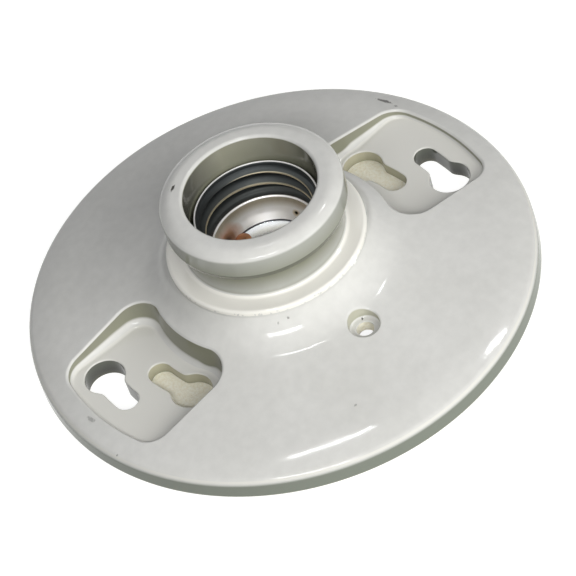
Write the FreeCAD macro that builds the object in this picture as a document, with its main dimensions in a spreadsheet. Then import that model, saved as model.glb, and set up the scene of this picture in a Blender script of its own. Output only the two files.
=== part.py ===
import FreeCAD, Part
import os
import re
import Sketcher

# Keyless porcelain lamp holder for a round ceiling box. Millimetres, +Z out of the socket,
# origin at the centre of the rim's base, X along the line of the box screws.

os.makedirs("parts", exist_ok=True)
doc = FreeCAD.newDocument("lamp_holder")

SIZES = {
    # Plate
    "plate_radius": 57.5,
    "rim_height": 5.2,
    "rim_draft": 0.2,
    "rim_shoulder": 2.0,
    "rim_break": 0.6,
    "foot_bevel": 0.6,
    "dome_radius": 29.5,
    "dome_slope": 11.6,
    "bell_low_radius": 25.4,
    "bell_low_height": 12.7,
    "bell_high_radius": 23.0,
    "bell_high_height": 15.0,
    # Ledge, shade groove and collar
    "ledge_radius": 22.3,
    "ledge_foot": 16.4,
    "ledge_height": 18.2,
    "ledge_bevel": 0.6,
    "groove_radius": 17.9,
    "collar_radius": 20.2,
    "collar_depth": 7.6,
    "collar_chamfer": 0.7,
    "collar_bevel": 1.6,
    "collar_height": 33.3,
    "collar_shoulder": 2.6,
    "collar_break": 0.8,
    # Socket
    "mouth_radius": 14.7,
    "mouth_bevel": 0.9,
    "socket_shoulder": 17.5,
    "socket_foot_radius": 13.4,
    "seat_height": 11.3,
    # Pockets round the keyholes
    "pocket_floor": 4.4,
    "pocket_inner": 28.6,
    "pocket_outer": 51.6,
    "pocket_half_width": 15.8,
    "pocket_corner": 5.0,
    "pocket_draft": 8.0,
    # Keyholes: the outer pair goes through, the inner pair is a web to knock out
    "outer_screw_radius": 44.45,
    "outer_head_angle": 11.8,
    "inner_screw_radius": 34.925,
    "inner_head_angle": 15.7,
    "slot_half_width": 2.65,
    "head_hole_radius": 4.55,
    "web_drop": 3.0,
    # Small counterbored holes
    "side_hole_reach": 30.0,
    "side_hole_radius": 1.9,
    "side_bore_radius": 3.4,
    "side_bore_floor": 8.4,
    # Hollow underside
    "hollow_radius": 47.5,
    "hollow_edge_height": 2.4,
    "hollow_slope_radius": 44.0,
    "hollow_mid_radius": 27.5,
    "hollow_mid_height": 6.0,
    "hollow_top_radius": 24.5,
    "hollow_top_height": 8.6,
    "hollow_inner_radius": 22.0,
    "boss_radius": 21.0,
    "boss_height": 6.0,
    "pad_half_width": 20.5,
    "pad_start": 21.5,
    "cut_margin": 1.0,
    # Screw shell
    "shell_sheet": 0.4,
    "shell_hole_radius": 6.2,
    "dish_foot_radius": 10.2,
    "thread_minor_radius": 12.1,
    "thread_major_radius": 13.2,
    "thread_foot": 17.7,
    "barrel_foot": 19.2,
    "lip_radius": 13.9,
    "lip_foot": 25.2,
    "shell_height": 26.6,
    # Rivets, contact and terminals
    "rivet_reach": 8.2,
    "rivet_angle": 100.0,
    "rivet_shank_radius": 1.2,
    "rivet_head_radius": 1.9,
    "rivet_head_height": 0.9,
    "rivet_crown_radius": 1.1,
    "rivet_tail_radius": 1.6,
    "rivet_tail_height": 0.7,
    "rivet_clearance": 0.15,
    "contact_rivet_reach": 7.3,
    "contact_sheet": 0.4,
    "contact_width": 5.0,
    "contact_tail": 9.6,
    "contact_bend_start": 5.1,
    "contact_bend_radius": 3.2,
    "contact_crown_radius": 2.4,
    "contact_slope": 65.0,
    "contact_tip_slope": 45.0,
    "contact_tip_length": 1.2,
    "contact_recess_depth": 3.0,
    "contact_recess_half_width": 4.0,
    "contact_recess_end": 10.6,
    "contact_recess_start": 4.2,
    "plate_sheet": 0.9,
    "plate_half_width": 4.2,
    "terminal_reach": 13.5,
    "plate_end": 18.4,
    "plate_start": 4.6,
    "screw_radius": 1.7,
    "screw_clearance": 0.05,
    "screw_tip_gap": 0.3,
    "screw_point": 0.4,
    "hot_slot_angle": 25.0,
    "neutral_slot_angle": -40.0,
    "screw_hole_clearance": 0.4,
    "screw_hole_roof": 1.7,
    "screw_head_radius": 3.7,
    "screw_head_height": 1.9,
    "screw_head_edge": 1.3,
    "screw_crown_radius": 2.6,
    "screw_slot_width": 1.1,
    "screw_slot_depth": 1.0,
    "screw_seat_gap": 0.02,
    "washer_radius": 3.2,
    "washer_sheet": 0.7,
    "neutral_arm_reach": 11.2,
    "neutral_arm_edge": 5.0,
    "neutral_arm_end": 2.6,
    "neutral_elbow": 9.4,
}

sheet = doc.addObject("Spreadsheet::Sheet", "sizes")
for row, (alias, size) in enumerate(SIZES.items(), start=1):
    sheet.set(f"A{row}", alias)
    sheet.set(f"B{row}", str(size))
    sheet.setAlias(f"B{row}", alias)
doc.recompute()


def linked(text):
    """The expression with each named size written as a cell of the sheet."""
    def with_sheet(word):
        return "sizes." + word.group() if word.group() in SIZES else word.group()
    return re.sub(r"[a-z_]+", with_sheet, text)


def number(text):
    return float(sheet.evalExpression(linked(text)))


def new_body(label):
    body = doc.addObject("PartDesign::Body", label)
    body.Label = label
    return body


def origin_plane(body, role):
    return [feature for feature in body.Origin.OriginFeatures if feature.Role == role][0]


def new_sketch(body, name, role, height=None):
    """A sketch on one of the body's origin planes, lifted by height where that is given."""
    sketch = body.newObject("Sketcher::SketchObject", name)
    sketch.AttachmentSupport = [(origin_plane(body, role), "")]
    sketch.MapMode = "FlatFace"
    if height is not None:
        sketch.setExpression("AttachmentOffset.Base.z", linked(height))
    return sketch


def pin_point(sketch, geometry, end, place):
    """Ties one end of a line or arc to its two sizes."""
    for kind, text in zip(("DistanceX", "DistanceY"), place):
        index = sketch.addConstraint(Sketcher.Constraint(kind, geometry, end, number(text)))
        sketch.setExpression(f"Constraints[{index}]", linked(text))


def arc_between(start, finish, radius, turn):
    """The short arc of that radius; turn is 1 where it runs anticlockwise, -1 where clockwise."""
    middle = (start + finish) * 0.5
    chord = finish - start
    side = FreeCAD.Vector(-chord.y, chord.x, 0).normalize()
    reach = max(radius**2 - (chord.Length / 2) ** 2, 0) ** 0.5
    centre = middle + side * (reach * turn)
    bulge = centre - side * (radius * turn)
    return Part.Arc(start, bulge, finish)


def outline(sketch, points, closed=True):
    """Lines and arcs from point to point; a point's third item is the radius of the arc that leaves it."""
    places = [FreeCAD.Vector(number(point[0]), number(point[1]), 0) for point in points]
    count = len(points) if closed else len(points) - 1
    for index in range(count):
        after = (index + 1) % len(points)
        if len(points[index]) == 2:
            edge = Part.LineSegment(places[index], places[after])
            geometry = sketch.addGeometry(edge, False)
            ends = (1, 2)
        else:
            radius, turn = points[index][2]
            edge = arc_between(places[index], places[after], number(radius), turn)
            geometry = sketch.addGeometry(edge, False)
            ends = (1, 2) if turn > 0 else (2, 1)
            bound = sketch.addConstraint(Sketcher.Constraint("Radius", geometry, number(radius)))
            sketch.setExpression(f"Constraints[{bound}]", linked(radius))
        pin_point(sketch, geometry, ends[0], points[index])
        pin_point(sketch, geometry, ends[1], points[after])


def circle(sketch, place, radius):
    centre = FreeCAD.Vector(number(place[0]), number(place[1]), 0)
    ring = Part.Circle(centre, FreeCAD.Vector(0, 0, 1), number(radius))
    geometry = sketch.addGeometry(ring, False)
    pin_point(sketch, geometry, 3, place)
    bound = sketch.addConstraint(Sketcher.Constraint("Radius", geometry, number(radius)))
    sketch.setExpression(f"Constraints[{bound}]", linked(radius))


def turned(body, name, sketch):
    """A full revolution of the sketch about its upright axis."""
    feature = body.newObject("PartDesign::Revolution", name)
    feature.Profile = sketch
    feature.ReferenceAxis = (sketch, ["V_Axis"])
    feature.Angle = 360
    doc.recompute()


def raised(body, name, sketch, length):
    pad = body.newObject("PartDesign::Pad", name)
    pad.Profile = sketch
    pad.setExpression("Length", linked(length))
    doc.recompute()


def cut_up(body, name, sketch, length, draft=None):
    """Removes the sketch's area from its plane upwards; the walls lean out by draft degrees."""
    before = body.Shape.Volume
    pocket = body.newObject("PartDesign::Pocket", name)
    pocket.Profile = sketch
    pocket.Type = "Length"
    pocket.setExpression("Length", linked(length))
    pocket.Reversed = True
    if draft is not None:
        pocket.setExpression("TaperAngle", linked(draft))
    doc.recompute()
    if body.Shape.Volume > before - 0.01:
        raise ValueError(name + " cuts nothing")
    return pocket


def bevelled(body, name, edges, width):
    base = body.Tip
    chamfer = body.newObject("PartDesign::Chamfer", name)
    chamfer.Base = (base, edges)
    chamfer.setExpression("Size", linked(width))
    doc.recompute()


def ring_edges(shape, spots):
    """Names of the round edges at these radii and heights."""
    wanted = [(number(radius), number(height)) for radius, height in spots]
    names = []
    for index, edge in enumerate(shape.Edges, start=1):
        curve = edge.Curve
        if curve.TypeId != "Part::GeomCircle" or abs(curve.Center.x) > 1e-6 or abs(curve.Center.y) > 1e-6:
            continue
        if any(abs(curve.Radius - r) < 1e-4 and abs(curve.Center.z - z) < 1e-4 for r, z in wanted):
            names.append(f"Edge{index}")
    return names


def twice_round(body, name, features):
    """The features again, half a turn round the socket's axis."""
    pattern = body.newObject("PartDesign::PolarPattern", name)
    pattern.Originals = features
    pattern.Axis = (features[0].Profile[0], ["N_Axis"])
    pattern.Angle = 360
    pattern.Occurrences = 2
    body.Tip = pattern
    doc.recompute()


# Porcelain blank: plate, dome, ledge, shade groove, collar and socket in one turned outline
blank = new_body("porcelain_blank")
section = new_sketch(blank, "blank_section", "XZ_Plane")
rim_top_radius = "(plate_radius - rim_draft - rim_shoulder)"
collar_bottom = "(collar_height - collar_depth)"
dome_top = f"(rim_height + ({rim_top_radius} - dome_radius) * tan(dome_slope * 1deg))"
outline(section, [
    ("0", "0"),
    ("plate_radius", "0"),
    ("plate_radius - rim_draft", "rim_height - rim_shoulder"),
    ("plate_radius - rim_draft - rim_break", "rim_height - rim_break"),
    (rim_top_radius, "rim_height"),
    ("dome_radius", dome_top),
    ("bell_low_radius", "bell_low_height"),
    ("bell_high_radius", "bell_high_height"),
    ("ledge_radius", "ledge_foot"),
    ("ledge_radius", "ledge_height"),
    ("groove_radius", "ledge_height"),
    ("groove_radius", collar_bottom),
    ("collar_radius - collar_chamfer", collar_bottom),
    ("collar_radius", collar_bottom + " + collar_bevel"),
    ("collar_radius", "collar_height - collar_shoulder"),
    ("collar_radius - collar_break", "collar_height - collar_break"),
    ("collar_radius - collar_shoulder", "collar_height"),
    ("mouth_radius", "collar_height"),
    ("mouth_radius", "socket_shoulder"),
    ("socket_foot_radius", "seat_height"),
    ("0", "seat_height"),
])
turned(blank, "blank_turned", section)
bevelled(blank, "foot_bevel_cut", ring_edges(blank.Shape, [("plate_radius", "0")]), "foot_bevel")
bevelled(blank, "mouth_bevel_cut", ring_edges(blank.Shape, [("mouth_radius", "collar_height")]), "mouth_bevel")
bevelled(blank, "ledge_bevel_cut", ring_edges(blank.Shape, [("ledge_radius", "ledge_height")]), "ledge_bevel")

# Pocket: two parallel sides, joined by arcs concentric with the socket and the rim
pocket_area = new_sketch(blank, "pocket_area", "XY_Plane", "pocket_floor")
corner_rise = "(pocket_half_width - pocket_corner)"
inner_run = f"sqrt((pocket_inner + pocket_corner)^2 - {corner_rise}^2)"
outer_run = f"sqrt((pocket_outer - pocket_corner)^2 - {corner_rise}^2)"
inner_share = "pocket_inner / (pocket_inner + pocket_corner)"
outer_share = "pocket_outer / (pocket_outer - pocket_corner)"
outline(pocket_area, [
    (inner_run, "-pocket_half_width"),
    (outer_run, "-pocket_half_width", ("pocket_corner", 1)),
    (f"{outer_run} * {outer_share}", f"-{corner_rise} * {outer_share}", ("pocket_outer", 1)),
    (f"{outer_run} * {outer_share}", f"{corner_rise} * {outer_share}", ("pocket_corner", 1)),
    (outer_run, "pocket_half_width"),
    (inner_run, "pocket_half_width", ("pocket_corner", 1)),
    (f"{inner_run} * {inner_share}", f"{corner_rise} * {inner_share}", ("pocket_inner", -1)),
    (f"{inner_run} * {inner_share}", f"-{corner_rise} * {inner_share}", ("pocket_corner", 1)),
])
pocket = cut_up(blank, "pocket", pocket_area, "ledge_foot - pocket_floor", "pocket_draft")


def keyhole(name, reach, angle, away, start, depth):
    """A round head hole and the curved slot from it to the screw's place; away is the side of the head."""
    across = f"cos({angle} * 1deg)"
    along = f"{away} * sin({angle} * 1deg)"
    head_area = new_sketch(blank, name + "_head_area", "XY_Plane", start)
    circle(head_area, (f"{reach} * {across}", f"{reach} * {along}"), "head_hole_radius")
    slot_area = new_sketch(blank, name + "_slot_area", "XY_Plane", start)
    near = f"({reach} - slot_half_width)"
    far = f"({reach} + slot_half_width)"
    outline(slot_area, [
        (f"{near} * {across}", f"{near} * {along}"),
        (f"{far} * {across}", f"{far} * {along}", (far, -away)),
        (far, "0", ("slot_half_width", -away)),
        (near, "0", (near, away)),
    ])
    return [cut_up(blank, name + "_head", head_area, depth), cut_up(blank, name + "_slot", slot_area, depth)]


keyholes = keyhole("outer_keyhole", "outer_screw_radius", "outer_head_angle", -1, "0", "pocket_floor + cut_margin")
keyholes += keyhole(
    "inner_keyhole", "inner_screw_radius", "inner_head_angle", 1, "pocket_floor - web_drop", "web_drop + cut_margin")
twice_round(blank, "both_pockets", [pocket] + keyholes)

# Small counterbored holes beside the socket
side_bores = new_sketch(blank, "side_bore_areas", "XY_Plane", "side_bore_floor")
side_holes = new_sketch(blank, "side_hole_areas", "XY_Plane")
for way in ("", "-"):
    circle(side_bores, ("0", way + "side_hole_reach"), "side_bore_radius")
    circle(side_holes, ("0", way + "side_hole_reach"), "side_hole_radius")
cut_up(blank, "side_bores", side_bores, "ledge_foot - side_bore_floor")
cut_up(blank, "side_holes", side_holes, "ledge_foot")


# Recess for the centre contact, and the holes for its rivet, the shell's rivets and the terminal screws
recess_floor = "(seat_height - contact_recess_depth)"
recess_area = new_sketch(blank, "contact_recess_area", "XY_Plane", recess_floor)
outline(recess_area, [
    ("-contact_recess_start", "-contact_recess_half_width"),
    ("contact_recess_end", "-contact_recess_half_width"),
    ("contact_recess_end", "contact_recess_half_width"),
    ("-contact_recess_start", "contact_recess_half_width"),
])
cut_up(blank, "contact_recess", recess_area, "contact_recess_depth")
rivet_x = "rivet_reach * cos(rivet_angle * 1deg)"
rivet_y = "rivet_reach * sin(rivet_angle * 1deg)"
rivet_holes = new_sketch(blank, "rivet_hole_areas", "XY_Plane")
hole_radius = "rivet_shank_radius + rivet_clearance"
circle(rivet_holes, (rivet_x, rivet_y), hole_radius)
circle(rivet_holes, ("-" + rivet_x, "-" + rivet_y), hole_radius)
circle(rivet_holes, ("contact_rivet_reach", "0"), hole_radius)
cut_up(blank, "rivet_holes", rivet_holes, "seat_height + cut_margin")
screw_holes = new_sketch(blank, "screw_hole_areas", "XY_Plane")
for way in ("", "-"):
    circle(screw_holes, (way + "terminal_reach", "0"), "screw_radius + screw_hole_clearance")
cut_up(blank, "screw_holes", screw_holes, "seat_height - screw_hole_roof")

# Hollow underside, left out of the body: the central field for the terminals and two wiring bays
hollow = new_body("wiring_hollow")
bay_section = new_sketch(hollow, "bay_section", "XZ_Plane")
outline(bay_section, [
    ("0", "-cut_margin"),
    ("hollow_radius", "-cut_margin"),
    ("hollow_radius", "0"),
    ("hollow_slope_radius", "hollow_edge_height"),
    ("hollow_mid_radius", "hollow_mid_height"),
    ("hollow_top_radius", "hollow_top_height"),
    ("hollow_inner_radius", "hollow_top_height"),
    ("boss_radius", "boss_height"),
    ("0", "boss_height"),
])
turned(hollow, "hollow_turned", bay_section)
pad_areas = new_sketch(hollow, "pad_areas", "XY_Plane", "-2 * cut_margin")
for way in ("", "-"):
    outline(pad_areas, [
        (way + "pad_start", "-pad_half_width"),
        (way + "plate_radius", "-pad_half_width"),
        (way + "plate_radius", "pad_half_width"),
        (way + "pad_start", "pad_half_width"),
    ])
cut_up(hollow, "keyhole_pads", pad_areas, "ledge_height")

porcelain = doc.addObject("Part::Cut", "porcelain_body")
porcelain.Base = blank
porcelain.Tool = hollow
doc.recompute()


# Screw shell: drawn sheet with a flared lip, the barrel that carries the lamp's thread, the shoulder
# where the thread ends, a dished lower part and a flat flange to rivet down
shell = new_body("screw_shell")
shell_section = new_sketch(shell, "shell_section", "XZ_Plane")
outline(shell_section, [
    ("shell_hole_radius", "seat_height"),
    ("dish_foot_radius + shell_sheet", "seat_height"),
    ("thread_minor_radius + shell_sheet", "thread_foot"),
    ("thread_major_radius + shell_sheet", "barrel_foot - shell_sheet"),
    ("thread_major_radius + shell_sheet", "lip_foot"),
    ("lip_radius", "shell_height"),
    ("lip_radius - shell_sheet", "shell_height"),
    ("thread_major_radius", "lip_foot"),
    ("thread_major_radius", "barrel_foot"),
    ("thread_minor_radius", "thread_foot + shell_sheet"),
    ("dish_foot_radius", "seat_height + shell_sheet"),
    ("shell_hole_radius", "seat_height + shell_sheet"),
])
turned(shell, "shell_turned", shell_section)
shell_rivet_holes = new_sketch(shell, "shell_rivet_areas", "XY_Plane")
circle(shell_rivet_holes, (rivet_x, rivet_y), "rivet_shank_radius")
circle(shell_rivet_holes, ("-" + rivet_x, "-" + rivet_y), "rivet_shank_radius")
cut_up(shell, "shell_rivet_holes", shell_rivet_holes, "seat_height + cut_margin")


# Centre contact: a strip bent up from its riveted foot to a rounded crown on the socket's axis
contact = new_body("centre_contact")
foot_middle = f"({recess_floor} + contact_sheet / 2)"
bend_end_x = "(contact_bend_start - contact_bend_radius * sin(contact_slope * 1deg))"
bend_end_z = f"({foot_middle} + contact_bend_radius * (1 - cos(contact_slope * 1deg)))"
crown_x = f"({bend_end_x} - contact_crown_radius * sin(contact_slope * 1deg))"
crown_z = f"({bend_end_z} - contact_crown_radius * cos(contact_slope * 1deg))"
tip_x = f"({crown_x} - contact_crown_radius * sin(contact_tip_slope * 1deg))"
tip_z = f"({crown_z} + contact_crown_radius * cos(contact_tip_slope * 1deg))"
contact_path = new_sketch(contact, "contact_path", "XZ_Plane")
outline(contact_path, [
    ("contact_tail", foot_middle),
    ("contact_bend_start", foot_middle, ("contact_bend_radius", -1)),
    (bend_end_x, bend_end_z, ("contact_crown_radius", 1)),
    (tip_x, tip_z),
    (f"{tip_x} - contact_tip_length * cos(contact_tip_slope * 1deg)",
     f"{tip_z} - contact_tip_length * sin(contact_tip_slope * 1deg)"),
], closed=False)
strip_section = new_sketch(contact, "strip_section", "YZ_Plane", "contact_tail")
outline(strip_section, [
    ("-contact_width / 2", recess_floor),
    ("contact_width / 2", recess_floor),
    ("contact_width / 2", recess_floor + " + contact_sheet"),
    ("-contact_width / 2", recess_floor + " + contact_sheet"),
])
strip = contact.newObject("PartDesign::AdditivePipe", "contact_strip")
strip.Profile = strip_section
strip.Spine = (contact_path, [])
doc.recompute()
contact_hole = new_sketch(contact, "contact_hole_area", "XY_Plane")
circle(contact_hole, ("contact_rivet_reach", "0"), "rivet_shank_radius")
cut_up(contact, "contact_hole", contact_hole, "seat_height")


def rivet(label, place, seat, grip):
    """A round-headed rivet: head above the seat, shank down through grip, spread tail below."""
    body = new_body(label)
    rivet_section = new_sketch(body, label + "_section", "XZ_Plane")
    outline(rivet_section, [
        ("0", f"-({grip}) - rivet_tail_height"),
        ("rivet_tail_radius", f"-({grip}) - rivet_tail_height"),
        ("rivet_head_radius", f"-({grip})"),
        ("rivet_shank_radius", f"-({grip})"),
        ("rivet_shank_radius", "0"),
        ("rivet_head_radius", "0"),
        ("rivet_crown_radius", "rivet_head_height"),
        ("0", "rivet_head_height"),
    ])
    turned(body, label + "_turned", rivet_section)
    for axis, text in zip("xyz", (*place, seat)):
        body.setExpression(f"Placement.Base.{axis}", linked(text))
    return body


shell_grip = "shell_sheet + seat_height - boss_height"
neutral_rivet = rivet(
    "shell_rivet_neutral", (rivet_x, rivet_y), "seat_height + shell_sheet", shell_grip + " + plate_sheet")
plain_rivet = rivet(
    "shell_rivet_plain", ("-" + rivet_x, "-" + rivet_y), "seat_height + shell_sheet", shell_grip + " + washer_sheet")
contact_rivet = rivet(
    "contact_rivet", ("contact_rivet_reach", "0"), recess_floor + " + contact_sheet",
    f"contact_sheet + {recess_floor} - boss_height + plate_sheet")

# Washer under the tail of the plain rivet
washer = new_body("rivet_washer")
washer_area = new_sketch(washer, "washer_area", "XY_Plane", "boss_height - washer_sheet")
circle(washer_area, ("-" + rivet_x, "-" + rivet_y), "washer_radius")
circle(washer_area, ("-" + rivet_x, "-" + rivet_y), "rivet_shank_radius")
raised(washer, "washer_disc", washer_area, "washer_sheet")


def terminal_plate(label, corners, rivet_place, screw_place):
    """Flat stamped plate against the socket's back, with a rivet hole and a tapped screw hole."""
    body = new_body(label)
    area = new_sketch(body, label + "_area", "XY_Plane", "boss_height - plate_sheet")
    outline(area, corners)
    circle(area, rivet_place, "rivet_shank_radius")
    circle(area, screw_place, "screw_radius + screw_clearance")
    raised(body, label + "_sheet", area, "plate_sheet")
    return body


hot_plate = terminal_plate("hot_terminal_plate", [
    ("plate_start", "-plate_half_width"),
    ("plate_end", "-plate_half_width"),
    ("plate_end", "plate_half_width"),
    ("plate_start", "plate_half_width"),
], ("contact_rivet_reach", "0"), ("terminal_reach", "0"))
neutral_plate = terminal_plate("neutral_terminal_plate", [
    ("-plate_end", "-plate_half_width"),
    ("-neutral_elbow", "-plate_half_width"),
    ("-neutral_elbow", "neutral_arm_edge"),
    ("neutral_arm_end", "neutral_arm_edge"),
    ("neutral_arm_end", "neutral_arm_reach"),
    ("-neutral_elbow", "neutral_arm_reach"),
    ("-plate_end", "plate_half_width"),
], (rivet_x, rivet_y), ("-terminal_reach", "0"))


def terminal_screw(label, reach, turn):
    """Binding-head screw, head down under its plate; turn is the angle of its slot."""
    body = new_body(label)
    shank = "(seat_height - screw_hole_roof - screw_tip_gap - boss_height + plate_sheet)"
    screw_section = new_sketch(body, label + "_section", "XZ_Plane")
    outline(screw_section, [
        ("0", "-screw_seat_gap - screw_head_height"),
        ("screw_crown_radius", "-screw_seat_gap - screw_head_height"),
        ("screw_head_radius", "-screw_seat_gap - screw_head_edge"),
        ("screw_head_radius", "-screw_seat_gap"),
        ("screw_radius", "-screw_seat_gap"),
        ("screw_radius", shank + " - screw_point"),
        ("screw_radius - screw_point", shank),
        ("0", shank),
    ])
    turned(body, label + "_turned", screw_section)
    slot = new_sketch(body, label + "_slot_area", "XY_Plane", "-screw_seat_gap - screw_head_height - cut_margin")
    outline(slot, [
        ("-screw_head_radius - cut_margin", "-screw_slot_width / 2"),
        ("screw_head_radius + cut_margin", "-screw_slot_width / 2"),
        ("screw_head_radius + cut_margin", "screw_slot_width / 2"),
        ("-screw_head_radius - cut_margin", "screw_slot_width / 2"),
    ])
    cut_up(body, label + "_slot", slot, "screw_slot_depth + cut_margin")
    body.Placement.Rotation = FreeCAD.Rotation(FreeCAD.Vector(0, 0, 1), number(turn))
    body.setExpression("Placement.Base.x", linked(reach))
    body.setExpression("Placement.Base.z", linked("boss_height - plate_sheet"))
    return body


hot_screw = terminal_screw("hot_terminal_screw", "terminal_reach", "hot_slot_angle")
neutral_screw = terminal_screw("neutral_terminal_screw", "-terminal_reach", "neutral_slot_angle")
doc.recompute()

PIECES = [porcelain, shell, contact, neutral_rivet, plain_rivet, contact_rivet, washer, hot_plate, neutral_plate,
          hot_screw, neutral_screw]

for feature in doc.Objects:
    if "Invalid" in feature.State or "Error" in feature.State:
        raise ValueError(feature.Name + " failed: " + feature.getStatusString())
for piece in PIECES:
    if piece.Shape.isNull() or not piece.Shape.isValid() or len(piece.Shape.Solids) != 1:
        raise ValueError(piece.Label + " is not one sound solid")
for piece in PIECES:
    piece.Shape.exportStep(f"parts/{piece.Label}.step")
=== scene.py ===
import bmesh
import bpy
import math
import numpy as np
from mathutils import Matrix, Vector
from mathutils.geometry import delaunay_2d_cdt


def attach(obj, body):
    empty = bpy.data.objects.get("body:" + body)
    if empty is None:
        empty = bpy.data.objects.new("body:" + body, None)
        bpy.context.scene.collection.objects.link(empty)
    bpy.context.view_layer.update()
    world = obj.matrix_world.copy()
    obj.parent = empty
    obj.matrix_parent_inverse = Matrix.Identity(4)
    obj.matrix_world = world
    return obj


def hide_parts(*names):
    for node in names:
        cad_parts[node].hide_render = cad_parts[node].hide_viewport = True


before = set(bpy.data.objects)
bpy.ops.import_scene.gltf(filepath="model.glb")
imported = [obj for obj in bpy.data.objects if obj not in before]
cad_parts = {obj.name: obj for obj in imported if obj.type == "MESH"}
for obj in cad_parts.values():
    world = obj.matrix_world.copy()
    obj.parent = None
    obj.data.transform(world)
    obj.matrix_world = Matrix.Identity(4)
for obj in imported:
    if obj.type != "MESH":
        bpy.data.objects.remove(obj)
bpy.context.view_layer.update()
MM = 0.001

# Camera: the photograph looks down into the socket from about 47 degrees, with the box-screw line
# turned 27 degrees from the picture's width and the whole piece leaning 19 degrees anticlockwise.
def aim(turn, rise):
    """Direction of a point that stands turn radians round from the front and rise radians up."""
    return Vector((math.sin(turn) * math.cos(rise), -math.cos(turn) * math.cos(rise), math.sin(rise)))


def placed(data):
    """Adds an object for the data, under its name, to the scene."""
    made = bpy.data.objects.new(data.name, data)
    bpy.context.collection.objects.link(made)
    return made


view_turn, view_rise, view_roll = math.radians(-26.97), math.radians(46.68), math.radians(-18.95)
view_distance, view_aside, view_lift = 640.66, 0.92, 0.05
focal_pixels, frame_pixels = 2904.85, 576
back = aim(view_turn, view_rise)
level = Vector((math.cos(view_turn), math.sin(view_turn), 0))
upright = back.cross(level)
right = math.cos(view_roll) * level + math.sin(view_roll) * upright
up = math.cos(view_roll) * upright - math.sin(view_roll) * level
camera_data = bpy.data.cameras.new("camera")
camera_data.sensor_width = 36
camera_data.lens = focal_pixels / frame_pixels * camera_data.sensor_width
camera = placed(camera_data)
place = (back * view_distance + right * view_aside + up * view_lift) * MM
camera.matrix_world = Matrix.Translation(place) @ Matrix((right, up, back)).transposed().to_4x4()
bpy.context.scene.camera = camera
bpy.context.scene.view_settings.view_transform = "Standard"


# Studio: a broad low box over the camera's right shoulder lights the dome, a strip in front draws the
# long gleams, and thin strips to the right and high behind draw those near the rim. The room is dim
# and the floor grey, but both look white to the camera and in the metal.
def wire(tree, kind, links=(), **settings):
    """A node with its settings, and its inputs linked or set by name or number."""
    node = tree.nodes.new(kind)
    for setting, value in settings.items():
        setattr(node, setting, value)
    for socket, source in links:
        if isinstance(source, bpy.types.NodeSocket):
            tree.links.new(source, node.inputs[socket])
        else:
            node.inputs[socket].default_value = source
    return node


def sums(tree, operation, first, second=0.0, third=0.0):
    return wire(tree, "ShaderNodeMath", [(0, first), (1, second), (2, third)], operation=operation).outputs[0]


def vector(tree, operation, first, second=(0.0, 0.0, 0.0)):
    return wire(tree, "ShaderNodeVectorMath", [(0, first), (1, second)], operation=operation).outputs


def fade(tree, source, low, high, start=0.0, stop=1.0, kind="LINEAR"):
    """Goes from start to stop as the source goes from low to high."""
    links = [("Value", source), ("From Min", low), ("From Max", high), ("To Min", start), ("To Max", stop)]
    return wire(tree, "ShaderNodeMapRange", links, interpolation_type=kind).outputs[0]


def background(tree, plain, shown, output):
    """Shows one shader to the camera, to gloss and to glass, and the plain one to all other rays."""
    rays = wire(tree, "ShaderNodeLightPath").outputs
    seen = sums(tree, "MAXIMUM", rays["Is Camera Ray"], rays["Is Glossy Ray"])
    seen = sums(tree, "MAXIMUM", seen, rays["Is Transmission Ray"])
    blend = wire(tree, "ShaderNodeMixShader", [("Fac", seen), (1, plain), (2, shown)])
    wire(tree, output, [("Surface", blend.outputs[0])])


sky = bpy.data.worlds.new("room")
sky.use_nodes = True
bpy.context.scene.world = sky
room = sky.node_tree
room.nodes.clear()
dim = wire(room, "ShaderNodeBackground", [("Color", (0.90, 0.93, 1.0, 1)), ("Strength", 0.05)]).outputs[0]
white = wire(room, "ShaderNodeBackground", [("Color", (1, 1, 1, 1))]).outputs[0]
background(room, dim, white, "ShaderNodeOutputWorld")
lit_place = Vector((0, 0, 0.02))


def lamp(name, turn, rise, distance, width, height, watts, tint=(1.0, 1.0, 1.0)):
    """A soft box aimed at the collar, turn degrees round from the camera's side."""
    light = bpy.data.lights.new(name, "AREA")
    light.shape = "RECTANGLE"
    light.energy = watts
    light.size, light.size_y = width, height
    light.color = tint
    holder = placed(light)
    toward = aim(view_turn + math.radians(turn), math.radians(rise))
    holder.location = toward * distance + lit_place
    holder.rotation_mode = "QUATERNION"
    holder.rotation_quaternion = toward.to_track_quat("Z", "Y")
    return holder


lamp("broad_box", 32, 25, 1.1, 1.3, 0.8, 13.8, (1.0, 0.995, 0.975)).visible_glossy = False
lamp("strip_box", -12, 44, 0.9, 0.40, 0.12, 2.8)
lamp("right_strip", 113, 57, 0.82, 0.03, 0.08, 0.32)
lamp("far_strip", -172, 82, 0.9, 0.19, 0.022, 0.5)
lamp("back_box", 180, 52, 0.9, 0.5, 0.5, 0.15, (0.90, 0.94, 1.0))

span, floor_drop = 3.0, 0.0004
glow_near, glow_far = 0.08, 0.2
ground = bpy.data.meshes.new("floor")
ground.from_pydata([(-span, -span, 0), (span, -span, 0), (span, span, 0), (-span, span, 0)], [], [(0, 1, 2, 3)])
floor = placed(ground)
floor.location.z = -floor_drop
sweep = bpy.data.materials.new("sweep")
sweep.use_nodes = True
tree = sweep.node_tree
tree.nodes.clear()
paper = wire(tree, "ShaderNodeBsdfDiffuse", [("Color", (0.30, 0.31, 0.27, 1))]).outputs[0]
outward = vector(tree, "LENGTH", wire(tree, "ShaderNodeTexCoord").outputs["Object"])["Value"]
strength = fade(tree, outward, glow_near, glow_far, 0.9, 1.0)
glow = wire(tree, "ShaderNodeEmission", [("Color", (1, 1, 1, 1)), ("Strength", strength)]).outputs[0]
bright = wire(tree, "ShaderNodeAddShader", [(0, paper), (1, glow)]).outputs[0]
background(tree, paper, bright, "ShaderNodeOutputMaterial")
ground.materials.append(sweep)


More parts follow.
